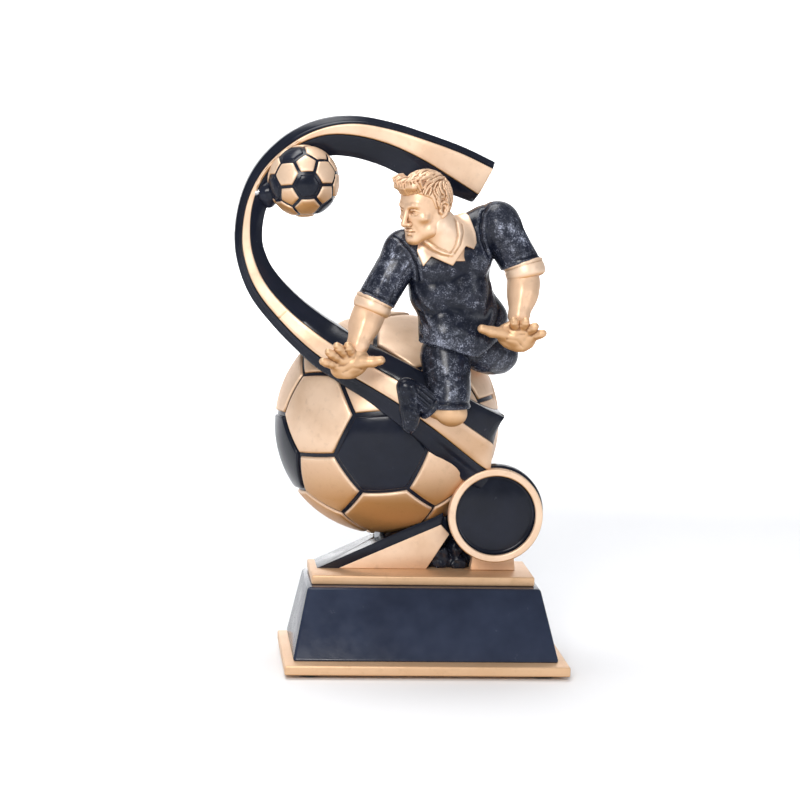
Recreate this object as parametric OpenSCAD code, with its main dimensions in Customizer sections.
// Footballer figure trophy: stepped plinth, half-round ball, sweeping ribbon,
// centre medallion and a diving player, each one a separate casting.
// Millimetres, +Z up, -Y is the front, origin on the resting plane.

/* [Plinth] */
// Width of the bottom plate
plate_w = 90; // [86:1:100]
// Depth of the bottom plate, front to back
plate_d = 50; // [50:1:60]
// Thickness of the bottom plate
plate_t = 3.1; // [2:0.1:5]
// Width of the block where it meets the bottom plate
block_w_low = 84.4; // [80:0.2:85]
// Width of the block under the cap
block_w_top = 74.6; // [73:0.2:78]
// Height of the sloped block
block_h = 21.2; // [18:0.2:26]
// Set-back of the block's front at the bottom plate
block_setback_low = 5.8; // [4:0.2:8]
// Set-back of the block's front under the cap
block_setback_top = 17.9; // [12:0.1:20]
// Width of the cap
cap_w = 71.7; // [70:0.1:73]
// Depth of the cap
cap_d = 27; // [26:0.5:30]
// Thickness of the cap
cap_t = 3; // [2:0.1:4]
// Height of the rubber pads
pad_h = 1; // [0.5:0.1:2]
// Diameter of the rubber pads
pad_dia = 8; // [6:0.5:10]

/* [Large ball] */
// Radius of the large ball over its panels
ball_r = 37.1; // [34:0.1:38]
// Depth of the groove between panels
groove_depth = 0.9; // [0.6:0.1:1.4]
// Half width of the groove as a share of the panel's size
groove_share = 0.075; // [0.04:0.005:0.1]
// Spin of the large ball about its front panel
ball_spin = -6; // [-30:1:30]
// Downward tilt of the large ball's front panel
ball_tilt = 9; // [0:1:20]
// Turn of the large ball's front panel
ball_turn = -7.5; // [-20:0.5:20]

/* [Small ball] */
// Radius of the small ball over its panels
small_r = 11.5; // [10:0.1:12]
// Spin of the small ball about its front panel
small_spin = -4; // [-30:1:30]
// Downward tilt of the small ball's front panel
small_tilt = 5; // [-10:1:20]
// Turn of the small ball's front panel
small_turn = 4; // [-20:1:20]

/* [Medallion] */
// Outer radius of the medallion ring
ring_r = 15.3; // [14.5:0.1:16]
// Radius of the recess for a 25 mm centre
recess_r = 12.9; // [12.6:0.1:13.2]
// Depth of the recess
recess_depth = 3; // [2:0.5:3.5]
// Thickness of the disc behind the recess
backing_t = 4.5; // [3:0.5:6]

/* [Ribbon] */
// Steps between two ribbon stations
ribbon_steps = 3; // [2:1:5]
// Thickness of the gold inlay
inlay_t = 1.2; // [0.8:0.1:1.6]

/* [Figure] */
// Radius of the steel dowels inside the figure
dowel_r = 0.8; // [0.6:0.1:1]

/* [Hidden] */

$fn = 64;
limb_fn = 20;
clear = 0.2;
hair_gap = 0.05;
far = 100;
gold = "#d9a566";
black = "#1c2030";
kit = "#3a3f4a";
steel = "#9a9ea3";

// Levels, from the resting plane up
plate_z = pad_h;
block_z = plate_z + plate_t;
cap_z = block_z + block_h;
deck_z = cap_z + cap_t;

// Depth planes
plate_front = -plate_d / 2;
back_y = 24;
cap_front = back_y - cap_d;

// The ribbon reaches further left than the plinth, so the plinth sits right of centre
ribbon_reach = 62.15;
plinth_x = (ribbon_reach - plate_w / 2) / 2;

// Clock angles of the black hexagons beside each ball's front one
ball_dark = [262];
small_dark = [262, 338, 142];

// Ball places: x, y, z of the centre
ball_c = [-10.7, 28, 73.9];
small_c = [-40.7, 12, 152.8];
core_r = ball_r - groove_depth;
small_groove = 0.5;
small_core_r = small_r - small_groove;
seat_r = ball_r + clear;

// Medallion: centre of the ring's front face
medal_c = [23.2, 1.5, 47.4];
backing_r = ring_r - 0.2;
backing_shift = [0.6, 0, 0.9];
backing_y = medal_c.y + recess_depth;

// Angles of an icosahedron's corners from the axis through one of its faces
near_ring = 37.377;
mid_ring = 79.188;

// Fasteners
bolt_r = 2;
bolt_head_r = 3.5;
bolt_head_h = 2.1;
bolt_slack = 0.6;
bolt_socket_r = 1.6;
bolt_socket_depth = 1.2;
washer_t = 0.6;
washer_lip = 0.4;
bolt_x = [-16, 23];
bolt_y = 16.5;
bolt_top = deck_z + 6;
pin_r = 1.5;
leg_pin_r = 1;

// Body radii at the joints below: left and right where there are two
chest_rad = [6.5, 6.8];
rib_rad = [7.5, 7.8];
waist_rad = 7;
pelvis_rad = [6, 7, 6];
neck_rad = [5.2, 5];
skull_rad = 8.6;
jaw_rad = 4.8;
hair_rad = 9.6;
shoulder_rad = [6.3, 6.4];
sleeve_end_rad = [6, 6.2];
arm_r = 4.4;
wrist_r_out = 2.8;
palm_rad = 2.7;
finger_rad = [1.5, 1];
thigh_rad = [7.8, 6.4];
rear_thigh_rad = [6.4, 5.2];
rear_calf_rad = [4.4, 3.8];
knee_rad = [4.8, 4.6, 4];
sock_rad = [3.9, 3.4];
cuff_t = 1.6;
cuff_flare = 0.4;

// Ribbon stations: band centre x, z, rim width, band width, bevel width, band depth y
RIBBON = [
  [17.6, 154, 2.2, 9.6, 3, 11],
  [8, 159, 2.2, 8.3, 5.3, 11],
  [-2, 163.5, 2.2, 6.2, 7.4, 11],
  [-13.5, 167.5, 2.3, 4.7, 7.3, 12],
  [-25, 169.5, 2.4, 3.8, 7, 12],
  [-35.5, 168.3, 2.8, 2.3, 6.8, 12],
  [-45, 163.5, 3, 1.5, 6.8, 12],
  [-53, 155.5, 2.6, 1.5, 6.2, 12],
  [-57.5, 145.5, 2.3, 1.9, 4.8, 12],
  [-58.5, 134, 2.3, 2.7, 3.9, 12],
  [-56.5, 125, 2.5, 3.2, 4.2, 11],
  [-52.5, 117.5, 2.8, 3.7, 4.8, 10],
  [-46.2, 110.5, 3, 4.2, 5.1, 8],
  [-39.8, 104.8, 3.1, 5, 5.4, 6],
  [-32.5, 99.6, 3.6, 5.5, 5.7, 2],
  [-24, 95.4, 4.2, 5.7, 5.5, -4.5],
  [-15.5, 91.2, 4.8, 6, 5.7, -9],
  [-6.8, 86.4, 5.6, 6.4, 6, -12],
  [2.2, 80.5, 6.2, 6.9, 6.6, -11.5],
  [11.4, 73.6, 7.5, 7.5, 7.8, -6],
  [21.5, 65.8, 7, 8.5, 10, 3]
];
arc_last = 12;
// Stretch of the ribbon that the small ball's bracket leans on
bracket_from = 6;
bracket_to = 9;
// Station from which the sash crosses in front of the player
cross_from = 15;
end_cut = [-0.1, -0.995];
rim_drop = 2.2;
bevel_drop = 3.4;
lip = 0.5;

// Figure joints
neck_base = [4, -11, 133.5];
neck_top = [-0.5, -13, 141];
skull_c = [-4.5, -14, 149];
jaw_c = [-6.5, -16, 141.5];
chest_l = [-4.5, -8, 130.5];
chest_r = [15, -6, 135];
rib_l = [0, -8, 120];
rib_r = [12, -7, 122];
waist_l = [4, -5, 111.5];
waist_r = [16.5, -4.5, 111.5];
hip_c = [11.5, -4, 103];
shoulder_l = [-12, -9, 134.5];
shoulder_r = [20.5, -6, 140];
cuff_l = [-19.5, -11, 116.5];
cuff_r = [27, -8.5, 129.5];
elbow_l = [-20.8, -11.5, 113];
elbow_r = [27.8, -9.8, 123.5];
wrist_l = [-24.3, -16.5, 104];
wrist_r = [26, -14.5, 114];
palm_l = [-26, -18, 99];
palm_r = [23.8, -17.5, 108.5];
hip_f = [5, -8, 100];
hem_f = [5.5, -11.5, 90];
knee_f = [5.8, -15.6, 84.5];
shin_top = [1.5, -16, 86];
ankle_f = [-5.5, -16, 88];
heel_f = [-9, -16.5, 91.5];
toe_f = [-7.5, -16.5, 79];
hip_b = [17, -3, 101.5];
hem_b = [21.5, 8, 99];
leg_b_end = [23, 20, 96];

// ---- vector and curve helpers ----

function unit(v) = v / norm(v);
function mix(a, b, t) = a + (b - a) * t;
function spline(a, b, c, d, t) =
  0.5 * (2 * b + (c - a) * t + (2 * a - 5 * b + 4 * c - d) * t * t
         + (3 * b - a - 3 * c + d) * t * t * t);
function at(list, i) = list[max(0, min(len(list) - 1, i))];
function along(list, u) =
  let (i = floor(u))
  spline(at(list, i - 1), at(list, i), at(list, i + 1), at(list, i + 2), u - i);

// ---- shared building blocks ----

module placed() {
  translate([plinth_x, 0, 0]) children();
}

// Straight round bar between two points
module rod(a, b, r) {
  d = b - a;
  translate(a)
    rotate([0, acos(d.z / norm(d)), atan2(d.y, d.x)])
      cylinder(h = norm(d), r = r);
}

// Round limb that tapers from one ball end to the other
module limb(a, b, ra, rb) {
  hull() {
    translate(a) sphere(r = ra, $fn = limb_fn);
    translate(b) sphere(r = rb, $fn = limb_fn);
  }
}

// Front-view outline pushed back from y_front to y_back
module slab(points, y_front, y_back) {
  translate([0, y_back, 0])
    rotate([90, 0, 0])
      linear_extrude(height = y_back - y_front) polygon(points);
}

// Everything behind the flat back plane
module behind_back() {
  translate([-far, back_y, -far]) cube([2 * far, far, 3 * far]);
}

// Disc whose axis runs front to back
module facing_disc(c, r, y_front, y_back) {
  translate([c.x, y_front, c.z]) rotate([-90, 0, 0]) cylinder(h = y_back - y_front, r = r);
}

// ---- football panels ----

// Direction at angle a from the front and clock angle k, clockwise from the top
function front_dir(a, k) = [sin(a) * sin(k), -cos(a), sin(a) * cos(k)];

// The twelve icosahedron corners with one face to the front
function ico_corners() = [
  for (k = [0 : 120 : 240]) front_dir(near_ring, k),
  for (k = [60 : 120 : 300]) front_dir(mid_ring, k),
  for (k = [0 : 120 : 240]) front_dir(180 - mid_ring, k),
  for (k = [60 : 120 : 300]) front_dir(180 - near_ring, k)
];
CORNERS = ico_corners();
edge_dot = 0.447;
function touching(a, b) = abs(a * b - edge_dot) < 0.01;
function faces() = [
  for (i = [0 : 9], j = [i + 1 : 10], k = [j + 1 : 11])
    if (touching(CORNERS[i], CORNERS[j]) && touching(CORNERS[j], CORNERS[k])
        && touching(CORNERS[i], CORNERS[k])) [i, j, k]
];
FACES = faces();

// Turn a direction the way rotate([tilt, 0, turn]) rotate([0, spin, 0]) does
function spun(v, s) = [v.x * cos(s) + v.z * sin(s), v.y, v.z * cos(s) - v.x * sin(s)];
function tilted(v, t) = [v.x, v.y * cos(t) - v.z * sin(t), v.y * sin(t) + v.z * cos(t)];
function turned(v, t) = [v.x * cos(t) - v.y * sin(t), v.x * sin(t) + v.y * cos(t), v.z];
function oriented(v, o) = turned(tilted(spun(v, o[0]), o[1]), o[2]);

// Corners of a pentagon, in order around its centre
function ring_order(c, list) =
  let (ref = unit(list[0] - c * (list[0] * c)), side = cross(c, ref))
  [for (s = [0 : 72 : 359])
    for (p = list)
      let (q = p - c * (p * c), a = atan2(q * side, q * ref))
      if (abs(((a - s + 540) % 360) - 180) < 20) p];
function pentagon(i) =
  let (c = CORNERS[i])
  ring_order(c, [for (p = CORNERS) if (touching(c, p)) unit(2 * c + p)]);
function hexagon(f) =
  let (a = CORNERS[f[0]], b = CORNERS[f[1]], c = CORNERS[f[2]])
  [unit(2 * a + b), unit(a + 2 * b), unit(2 * b + c),
   unit(b + 2 * c), unit(2 * c + a), unit(c + 2 * a)];
function centre(list) = unit([for (i = [0 : 2]) let (s = [for (p = list) p[i]]) s * [for (p = s) 1]]);
function outward(list) =
  (cross(list[1] - list[0], list[2] - list[1]) * centre(list) > 0)
  ? list : [for (i = [len(list) - 1 : -1 : 0]) list[i]];

// Pillow on a ball: foot ring at r_in, edge ring near r_out and a crowned centre
module pillow(corners, r_in, r_out) {
  ring = outward(corners);
  c = centre(ring);
  n = len(ring);
  edge_share = 1 - groove_share;
  shoulder_share = edge_share - 0.1;
  sink = (r_out - r_in) * 0.35;
  points = [
    for (p = ring) r_in * unit(mix(c, p, edge_share)),
    for (p = ring) (r_out - sink) * unit(mix(c, p, edge_share)),
    for (p = ring) r_out * unit(mix(c, p, shoulder_share)),
    for (i = [0 : n - 1])
      let (m = mix(ring[i], ring[(i + 1) % n], 0.5)) r_out * unit(mix(c, m, 0.5)),
    r_out * c
  ];
  polyhedron(
    points,
    [
      [for (i = [0 : n - 1]) i],
      for (i = [0 : n - 1]) each [
        [(i + 1) % n, i, n + i],
        [(i + 1) % n, n + i, n + (i + 1) % n],
        [n + (i + 1) % n, n + i, 2 * n + i],
        [n + (i + 1) % n, 2 * n + i, 2 * n + (i + 1) % n],
        [2 * n + (i + 1) % n, 2 * n + i, 3 * n + i],
        [2 * n + (i + 1) % n, 3 * n + i, 3 * n + (i + 1) % n],
        [3 * n + (i + 1) % n, 3 * n + i, 4 * n]
      ]
    ]
  );
}

// A black hexagon faces the front, and others sit two panels away at given clock angles
two_panels_dot = 1 / 3;
function clock(c) = (atan2(c.x, c.z) + 360) % 360;
function is_dark(c, clocks) =
  c.y < -0.99 || (abs(c.y + two_panels_dot) < 0.02
                  && len([for (k = clocks) if (abs(clock(c) - k) < 8) k]) > 0);

module panels(dark, clocks, r_in, r_out, orient, reach) {
  for (f = FACES) {
    list = [for (p = hexagon(f)) oriented(p, orient)];
    if (is_dark(centre(hexagon(f)), clocks) == dark && centre(list).y * r_out < reach)
      pillow(list, r_in, r_out);
  }
  if (!dark)
    for (i = [0 : 11]) {
      list = [for (p = pentagon(i)) oriented(p, orient)];
      if (centre(list).y * r_out < reach) pillow(list, r_in, r_out);
    }
}

// ---- ribbon ----

// Depth of the ribbon's back: flat, or resting on the ball where it crosses it
function seat_y(x, z) =
  let (r2 = (x - ball_c.x) ^ 2 + (z - ball_c.z) ^ 2)
  r2 >= seat_r ^ 2 ? back_y : min(back_y, ball_c.y - sqrt(seat_r ^ 2 - r2));

// Edge points of the ribbon at station u: rim edge, band edges, bevel edge, depth
function ribbon_at(u) =
  let (s = along(RIBBON, u),
       ahead = along(RIBBON, min(u + 0.05, len(RIBBON) - 1)),
       before = along(RIBBON, max(u - 0.05, 0)),
       t = unit([ahead[0] - before[0], ahead[1] - before[1]]),
       out = [t.y, -t.x],
       side = (u > arc_last + 7.5) ? end_side(u, out) : out,
       m = [s[0], s[1]])
  [m + side * (s[3] / 2 + s[2]), m + side * s[3] / 2,
   m - side * s[3] / 2, m - side * (s[3] / 2 + s[4]), s[5]];
// The ribbon's lower end is cut upright, behind the medallion
function end_side(u, out) =
  let (k = (u - arc_last - 7.5) * 2) unit(mix(out, end_cut, min(1, k)));

function core_ring(u) =
  let (e = ribbon_at(u), y = e[4], m = mix(e[1], e[2], 0.5))
  [
    [e[0].x, y + rim_drop, e[0].y], [e[1].x, y + lip, e[1].y],
    [e[1].x, y + inlay_t, e[1].y], [e[2].x, y + inlay_t, e[2].y],
    [e[2].x, y + lip, e[2].y], [e[3].x, y + bevel_drop, e[3].y],
    [e[3].x, deep(e[3], y), e[3].y], [e[2].x, deep(e[2], y), e[2].y],
    [m.x, deep(m, y), m.y],
    [e[1].x, deep(e[1], y), e[1].y], [e[0].x, deep(e[0], y), e[0].y]
  ];
function deep(p, y) = max(seat_y(p.x, p.y), y + bevel_drop + 0.6);
function inlay_ring(u) =
  let (e = ribbon_at(u), y = e[4])
  [[e[1].x, y, e[1].y], [e[1].x, y + inlay_t, e[1].y],
   [e[2].x, y + inlay_t, e[2].y], [e[2].x, y, e[2].y]];

// Closed skin through rings of equal point count
module skin(rings) {
  n = len(rings[0]);
  count = len(rings);
  polyhedron(
    [for (r = rings) each r],
    [
      [for (i = [n - 1 : -1 : 0]) i],
      [for (i = [0 : n - 1]) (count - 1) * n + i],
      for (k = [0 : count - 2], i = [0 : n - 1])
        let (a = k * n + i, b = k * n + (i + 1) % n)
        each [[a, b, b + n], [a, b + n, a + n]]
    ]
  );
}
function stations(a, b) = [for (i = [0 : (b - a) * ribbon_steps]) a + i / ribbon_steps];

// ---- plinth ----

module foot_pads() {
  inset_x = 8;
  inset_y = 7;
  color("#2b2b2e")
    placed()
      for (x = [-1, 1], y = [-1, 1])
        translate([x * (plate_w / 2 - inset_x), y * (plate_d / 2 - inset_y), 0])
          cylinder(h = pad_h, d = pad_dia);
}

module bolt_holes(r) {
  for (x = bolt_x) translate([x, bolt_y, 0]) cylinder(h = bolt_top, r = r);
}

module plinth_bottom_plate() {
  color(gold)
    placed()
      difference() {
        translate([-plate_w / 2, plate_front, plate_z]) cube([plate_w, plate_d, plate_t]);
        bolt_holes(bolt_r);
        for (x = bolt_x)
          translate([x, bolt_y, 0])
            cylinder(h = plate_z + bolt_head_h + washer_t, r = bolt_head_r + bolt_slack);
      }
}

module plinth_block() {
  front_low = plate_front + block_setback_low;
  front_top = plate_front + block_setback_top;
  color(black)
    placed()
      difference() {
        intersection() {
          slab([[-block_w_low / 2, block_z], [block_w_low / 2, block_z],
                [block_w_top / 2, cap_z], [-block_w_top / 2, cap_z]],
               plate_front, back_y);
          translate([-plate_w / 2, 0, 0])
            rotate([90, 0, 90])
              linear_extrude(height = plate_w)
                polygon([[front_low, block_z], [back_y, block_z],
                         [back_y, cap_z], [front_top, cap_z]]);
        }
        bolt_holes(bolt_r);
      }
}

module plinth_cap() {
  color(gold)
    placed()
      difference() {
        translate([-cap_w / 2, cap_front, cap_z]) cube([cap_w, cap_d, cap_t]);
        bolt_holes(bolt_r);
      }
}

module plinth_bolts() {
  color(steel)
    placed()
      for (x = bolt_x)
        translate([x, bolt_y, plate_z])
          difference() {
            union() {
              cylinder(h = bolt_head_h, r = bolt_head_r);
              cylinder(h = bolt_top - plate_z - 0.5, r = bolt_r);
            }
            translate([0, 0, -1]) cylinder(h = 1 + bolt_socket_depth, r = bolt_socket_r, $fn = 6);
          }
}

module plinth_washers() {
  color(steel)
    placed()
      for (x = bolt_x)
        translate([x, bolt_y, plate_z + bolt_head_h])
          difference() {
            cylinder(h = washer_t, r = bolt_head_r + washer_lip);
            translate([0, 0, -1]) cylinder(h = washer_t + 2, r = bolt_r);
          }
}

// ---- flourish under the ball, rock and medallion ----

flourish_front = 9;
flourish_face_t = 1.5;
flourish_tip = [-33.5, deck_z];
flourish_top = [7, 47];
stripe_low = [-26.5, deck_z];
stripe_top = [6.4, 43];
gold_top = [9.2, 39.8];
gold_low = [2, deck_z];
rock_right = 18.3;
rock_front = flourish_front + 1;
rock_back = 22;

module ball_space() {
  translate(ball_c) sphere(r = seat_r);
}

module medallion_space() {
  facing_disc(medal_c, ring_r + clear, medal_c.y - 20, back_y + 1);
}

module flourish_block() {
  color(black)
    placed()
      difference() {
        union() {
          slab([flourish_tip, gold_low, gold_top, flourish_top],
               flourish_front + flourish_face_t, back_y);
          slab([flourish_tip, stripe_low, stripe_top, flourish_top],
               flourish_front, flourish_front + flourish_face_t);
        }
        ball_space();
        medallion_space();
        bolt_holes(bolt_r);
        ball_dowel_rods();
      }
}

module flourish_gold_face() {
  color(gold)
    placed()
      difference() {
        slab([stripe_low, gold_low, gold_top, stripe_top],
             flourish_front, flourish_front + flourish_face_t);
        medallion_space();
      }
}

module rock_infill() {
  color(black)
    placed()
      difference() {
        slab([gold_low, [rock_right, deck_z], [rock_right, 42], [14, 50], [8.5, 45], gold_top],
             rock_front, rock_back);
        ball_space();
        medallion_space();
      }
}

module medallion_ring() {
  color(gold)
    placed()
      difference() {
        facing_disc(medal_c, ring_r, medal_c.y, backing_y);
        facing_disc(medal_c, recess_r, medal_c.y - 1, backing_y + 1);
      }
}

module medallion_backing() {
  color(black)
    placed()
      difference() {
        facing_disc(medal_c + backing_shift, backing_r, backing_y, backing_y + backing_t);
        ball_space();
      }
}

module medallion_post() {
  post_w = 10.6;
  post_h = 22;
  post_back = 21.5;
  toe_front = 8;
  toe_h = 8;
  backing_end = backing_y + backing_t;
  color(gold)
    placed()
      difference() {
        union() {
          translate([rock_right, backing_end, deck_z])
            cube([post_w, post_back - backing_end, post_h]);
          translate([rock_right, toe_front, deck_z]) cube([post_w, backing_end - toe_front, toe_h]);
        }
        facing_disc(medal_c + backing_shift, backing_r + hair_gap, 0, backing_end);
        ball_space();
        bolt_holes(bolt_r);
      }
}

// ---- large ball ----

ball_orient = [ball_spin, ball_tilt, ball_turn];
ball_dowel_x = [-13, -5];
ball_dowel_y = 17;
ball_dowel_low = deck_z + 4;
ball_dowel_top = ball_c.z - 28;
// Panels whose middle lies further back than this are cut away
ball_panel_reach = 10;

module ball_dowel_rods() {
  for (x = ball_dowel_x)
    rod([x, ball_dowel_y, ball_dowel_low], [x, ball_dowel_y, ball_dowel_top], pin_r);
}

module ball_core() {
  color(black)
    placed()
      difference() {
        translate(ball_c) sphere(r = core_r);
        behind_back();
        ball_dowel_rods();
        ribbon_dowel_rods();
        leg_dowel_rod();
      }
}

module ball_panels(dark) {
  placed()
    difference() {
      translate(ball_c) panels(dark, ball_dark, core_r, ball_r, ball_orient, ball_panel_reach);
      behind_back();
      ball_dowel_rods();
      ribbon_dowel_rods();
      leg_dowel_rod();
    }
}

module ball_gold_panels() {
  color(gold) ball_panels(false);
}

module ball_black_panels() {
  color(black) ball_panels(true);
}

module ball_dowels() {
  color(steel) placed() ball_dowel_rods();
}

// ---- ribbon castings ----

module ribbon_arc() {
  color(black)
    placed()
      difference() {
        skin([for (u = stations(0, arc_last)) core_ring(u)]);
        ribbon_dowel_rods();
        small_dowel_rod();
      }
}

module ribbon_arc_inlay() {
  color(gold) placed() skin([for (u = stations(0, arc_last)) inlay_ring(u)]);
}

module ribbon_sash() {
  color(black)
    placed()
      difference() {
        skin([for (u = stations(arc_last, len(RIBBON) - 1)) core_ring(u)]);
        medallion_space();
        ribbon_dowel_rods();
        leg_dowel_rod();
      }
}

module ribbon_sash_inlay() {
  color(gold)
    placed()
      difference() {
        skin([for (u = stations(arc_last, len(RIBBON) - 1)) inlay_ring(u)]);
        medallion_space();
        leg_dowel_rod();
      }
}

// One dowel joins the arc to the sash, and one the sash to the ball
module ribbon_dowel_rods() {
  rod([-50.5, 18.6, 113.4], [-42.5, 18.2, 106.6], pin_r);
  rod([-29, 12, 95], [-25, 26, 91], pin_r);
}

module ribbon_dowels() {
  color(steel)
    placed()
      difference() {
        ribbon_dowel_rods();
        behind_back();
      }
}

// ---- small ball ----

small_orient = [small_spin, small_tilt, small_turn];
bracket_c = [-51.5, small_c.y + 1, 149];
bracket_size = [6, 10, 8];
small_pin_r = 1;

module small_dowel_rod() {
  rod(small_c - [4, 0, 1], bracket_c - [4.6, 0, 0.4], small_pin_r);
}

module small_ball_core() {
  color(black)
    placed()
      difference() {
        translate(small_c) sphere(r = small_core_r);
        small_dowel_rod();
      }
}

module small_panels(dark) {
  placed()
    difference() {
      translate(small_c)
        panels(dark, small_dark, small_core_r, small_r, small_orient, small_r + 1);
      small_dowel_rod();
    }
}

module small_ball_gold_panels() {
  color(gold) small_panels(false);
}

module small_ball_black_panels() {
  color(black) small_panels(true);
}

module small_ball_bracket() {
  color(black)
    placed()
      difference() {
        translate(bracket_c - [2.6, bracket_size.y / 2, bracket_size.z / 2]) cube(bracket_size);
        translate(small_c) sphere(r = small_r + hair_gap);
        skin([for (u = stations(bracket_from, bracket_to)) core_ring(u)]);
        small_dowel_rod();
      }
}

module small_ball_dowel() {
  color(steel) placed() small_dowel_rod();
}

// ---- figure ----

module torso_solid() {
  hull() {
    translate(chest_l) sphere(r = chest_rad[0], $fn = limb_fn);
    translate(chest_r) sphere(r = chest_rad[1], $fn = limb_fn);
    translate(rib_l) sphere(r = rib_rad[0], $fn = limb_fn);
    translate(rib_r) sphere(r = rib_rad[1], $fn = limb_fn);
    translate(waist_l) sphere(r = waist_rad, $fn = limb_fn);
    translate(waist_r) sphere(r = waist_rad, $fn = limb_fn);
  }
}

module shirt_torso() {
  color(kit)
    placed()
      difference() {
        torso_solid();
        head_solid();
        figure_dowel_rods();
      }
}

module shirt_collar() {
  d = unit(neck_top - neck_base);
  collar_h = 4.5;
  collar_rad = [8, 6.6];
  color(gold)
    placed()
      difference() {
        translate(neck_base - d * 0.5)
          rotate([0, acos(d.z), atan2(d.y, d.x)])
            difference() {
              cylinder(h = collar_h, r1 = collar_rad[0], r2 = collar_rad[1]);
              translate([0, 0, -1]) cylinder(h = collar_h + 2, r = neck_rad[0] + clear);
            }
        torso_solid();
        head_solid();
        skull_solid(hair_gap);
      }
}

module head_solid() {
  limb(neck_base - [0, 0, 1], neck_top, neck_rad[0], neck_rad[1]);
}

module skull_solid(grow) {
  hull() {
    translate(skull_c) sphere(r = skull_rad + grow, $fn = limb_fn);
    translate(jaw_c) sphere(r = jaw_rad + grow, $fn = limb_fn);
  }
}

module head() {
  color(gold)
    placed()
      difference() {
        union() {
          head_solid();
          skull_solid(0);
        }
        figure_dowel_rods();
      }
}

// Cap of hair over the crown and back of the head
module hair() {
  hair_tilt = 18;
  hair_fn = 28;
  cut = 2 * hair_rad + 1;
  color(gold)
    placed()
      difference() {
        translate(skull_c + [0.6, 0.4, 0.8]) sphere(r = hair_rad, $fn = hair_fn);
        skull_solid(0);
        head_solid();
        translate(skull_c + [0, 0, 1.5])
          rotate([0, hair_tilt, 0])
            translate([-cut, -cut, -2 * cut]) cube(2 * cut);
      }
}

module sleeve(a, b, ra, rb) {
  d = unit(b - a);
  color(kit)
    placed()
      difference() {
        limb(a, b - d * rb, ra, rb);
        torso_solid();
        head_solid();
        figure_dowel_rods();
      }
}

module left_sleeve() {
  sleeve(shoulder_l, cuff_l, shoulder_rad[0], sleeve_end_rad[0]);
}

module right_sleeve() {
  sleeve(shoulder_r, cuff_r, shoulder_rad[1], sleeve_end_rad[1]);
}

module cuff(a, b, r) {
  d = unit(b - a);
  color(gold)
    placed()
      difference() {
        translate(b - d * clear)
          rotate([0, acos(d.z), atan2(d.y, d.x)])
            cylinder(h = cuff_t, r1 = r - cuff_flare / 2, r2 = r + cuff_flare / 2);
        rod(b - d * cuff_t, b + d * 2 * cuff_t, arm_r);
      }
}

module left_cuff() {
  cuff(shoulder_l, cuff_l, sleeve_end_rad[0]);
}

module right_cuff() {
  cuff(shoulder_r, cuff_r, sleeve_end_rad[1]);
}

// Bare arm from inside the cuff to the wrist
module forearm(cuff_p, shoulder_p, elbow, wrist) {
  d = unit(cuff_p - shoulder_p);
  color(gold)
    placed()
      difference() {
        union() {
          rod(cuff_p, elbow, arm_r);
          limb(elbow, wrist, arm_r, wrist_r_out);
        }
        figure_dowel_rods();
      }
}

module left_forearm() {
  forearm(cuff_l, shoulder_l, elbow_l, wrist_l);
}

module right_forearm() {
  forearm(cuff_r, shoulder_r, elbow_r, wrist_r);
}

// Open hand: palm, a thumb and four fingers
module hand(palm, wrist, thumb, tips) {
  color(gold)
    placed()
      difference() {
        union() {
          limb(mix(palm, wrist, 0.45), palm, palm_rad * 0.85, palm_rad);
          limb(palm, thumb, finger_rad[0], finger_rad[1]);
          for (tip = tips) limb(palm, tip, finger_rad[0], finger_rad[1]);
        }
        hull() {
          translate(wrist) sphere(r = wrist_r_out, $fn = limb_fn);
          translate(wrist + (wrist - palm)) sphere(r = wrist_r_out + 0.4, $fn = limb_fn);
        }
        figure_dowel_rods();
      }
}

module left_hand() {
  hand(palm_l, wrist_l, [-17.2, -19, 99.3],
       [[-35.6, -20.5, 99.6], [-34.4, -20.5, 102.2], [-31.5, -20, 104.6], [-28, -20, 104.6]]);
}

module right_hand() {
  hand(palm_r, wrist_r, [13.8, -19.5, 110],
       [[22.5, -19.5, 113.4], [26.6, -19.5, 113.2], [29.6, -19.5, 111.8], [32.6, -19.5, 109.6]]);
}

module pelvis_solid() {
  hull() {
    translate(hip_f + [0, 2, 2]) sphere(r = pelvis_rad[0], $fn = limb_fn);
    translate(hip_c + [0, 0, 1]) sphere(r = pelvis_rad[1], $fn = limb_fn);
    translate(hip_b + [0, 0, 1]) sphere(r = pelvis_rad[2], $fn = limb_fn);
  }
}

module shorts() {
  color(kit)
    placed()
      difference() {
        pelvis_solid();
        torso_solid();
        figure_dowel_rods();
      }
}

module front_leg_solid() {
  limb(hip_f, hem_f, thigh_rad[0], thigh_rad[1]);
}

module rear_leg_cloth() {
  limb(hip_b, hem_b, rear_thigh_rad[0], rear_thigh_rad[1]);
}

module front_shorts_leg() {
  color(kit)
    placed()
      difference() {
        front_leg_solid();
        pelvis_solid();
        torso_solid();
        sash_space();
        knee_solid();
        figure_dowel_rods();
      }
}

module rear_shorts_leg() {
  color(kit)
    placed()
      difference() {
        rear_leg_cloth();
        pelvis_solid();
        torso_solid();
        front_leg_solid();
        sash_space();
        ball_space();
      }
}

module rear_leg() {
  color(gold)
    placed()
      difference() {
        limb(hem_b, leg_b_end, rear_calf_rad[0], rear_calf_rad[1]);
        rear_leg_cloth();
        ball_space();
        behind_back();
      }
}

// Room taken by the sash and its inlay
module sash_space() {
  skin([for (u = stations(cross_from, len(RIBBON) - 1)) core_ring(u)]);
  skin([for (u = stations(cross_from, len(RIBBON) - 1)) inlay_ring(u)]);
}

module knee_solid() {
  hull() {
    translate(mix(hem_f, knee_f, 0.3)) sphere(r = knee_rad[0], $fn = limb_fn);
    translate(knee_f) sphere(r = knee_rad[1], $fn = limb_fn);
    translate(shin_top) sphere(r = knee_rad[2], $fn = limb_fn);
  }
}

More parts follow.
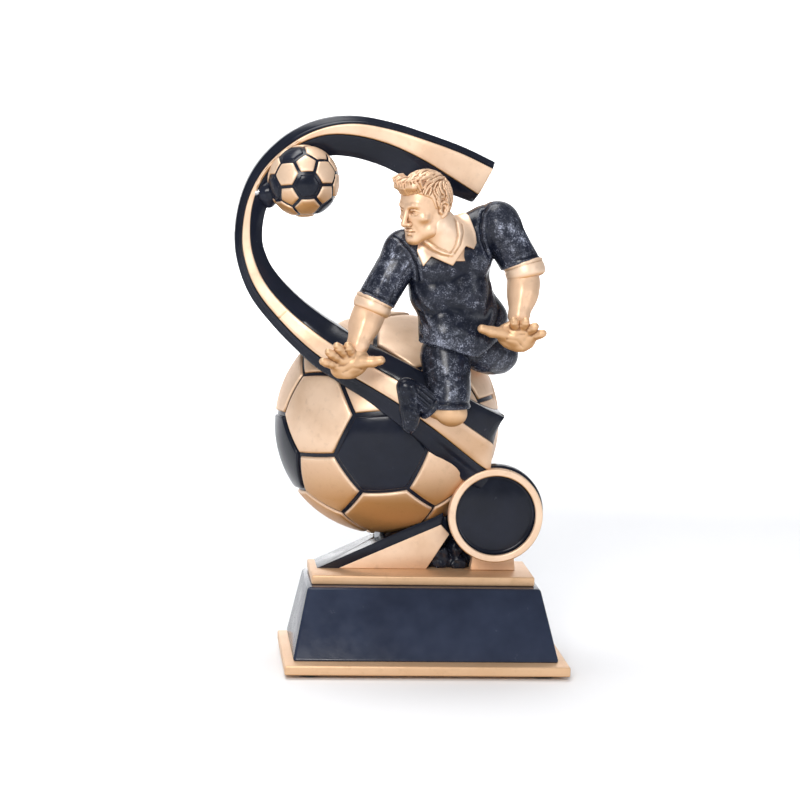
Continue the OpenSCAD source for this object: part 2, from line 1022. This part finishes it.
module front_knee() {
  color(gold)
    placed()
      difference() {
        knee_solid();
        sash_space();
        figure_dowel_rods();
      }
}

module sock_solid() {
  limb(shin_top - [3.6, 0, -0.6], ankle_f, sock_rad[0], sock_rad[1]);
}

module front_sock() {
  color(black)
    placed()
      difference() {
        sock_solid();
        knee_solid();
        sash_space();
      }
}

module front_boot() {
  color(kit)
    placed()
      difference() {
        hull() {
          translate(heel_f) sphere(r = 2.6, $fn = limb_fn);
          translate(toe_f) sphere(r = 2.2, $fn = limb_fn);
          translate(ankle_f - [1.5, 0, 1]) sphere(r = 3, $fn = limb_fn);
        }
        sock_solid();
        knee_solid();
        sash_space();
      }
}

// ---- steel inside the figure ----

module neck_rod() {
  rod(mix(neck_base, neck_top, -0.6), mix(neck_base, neck_top, 0.9), dowel_r);
}

module shoulder_rods() {
  rod(mix(chest_l, shoulder_l, 0.1), mix(shoulder_l, cuff_l, 0.3), dowel_r);
  rod(mix(chest_r, shoulder_r, 0.1), mix(shoulder_r, cuff_r, 0.3), dowel_r);
}

module wrist_rods() {
  rod(mix(elbow_l, wrist_l, 0.55), mix(wrist_l, palm_l, 0.8), dowel_r * 0.75);
  rod(mix(elbow_r, wrist_r, 0.55), mix(wrist_r, palm_r, 0.8), dowel_r * 0.75);
}

module hip_rods() {
  rod(hip_f + [1, 3, 10], hip_f + [0.5, -2, -5], dowel_r);
  rod(hip_c + [2, 0, 8], hip_c + [2, 0, -1], dowel_r);
}

// Long dowel from the front knee through the sash into the ball
module leg_dowel_rod() {
  rod(knee_f + [0, 2, 1], knee_f + [-1, 24, -3], leg_pin_r);
}

module figure_dowel_rods() {
  neck_rod();
  shoulder_rods();
  wrist_rods();
  hip_rods();
  leg_dowel_rod();
}

module neck_dowel() {
  color(steel) placed() neck_rod();
}

module shoulder_dowels() {
  color(steel) placed() shoulder_rods();
}

module wrist_dowels() {
  color(steel) placed() wrist_rods();
}

module hip_dowels() {
  color(steel) placed() hip_rods();
}

module knee_dowel() {
  color(steel) placed() leg_dowel_rod();
}

foot_pads();
plinth_bottom_plate();
plinth_block();
plinth_cap();
plinth_bolts();
plinth_washers();
flourish_block();
flourish_gold_face();
rock_infill();
medallion_ring();
medallion_backing();
medallion_post();
ball_core();
ball_gold_panels();
ball_black_panels();
ball_dowels();
ribbon_arc();
ribbon_arc_inlay();
ribbon_sash();
ribbon_sash_inlay();
ribbon_dowels();
small_ball_core();
small_ball_gold_panels();
small_ball_black_panels();
small_ball_bracket();
small_ball_dowel();
shirt_torso();
shirt_collar();
left_sleeve();
right_sleeve();
left_cuff();
right_cuff();
shorts();
front_shorts_leg();
rear_shorts_leg();
head();
hair();
left_forearm();
right_forearm();
left_hand();
right_hand();
front_knee();
rear_leg();
front_sock();
front_boot();
neck_dowel();
shoulder_dowels();
wrist_dowels();
hip_dowels();
knee_dowel();
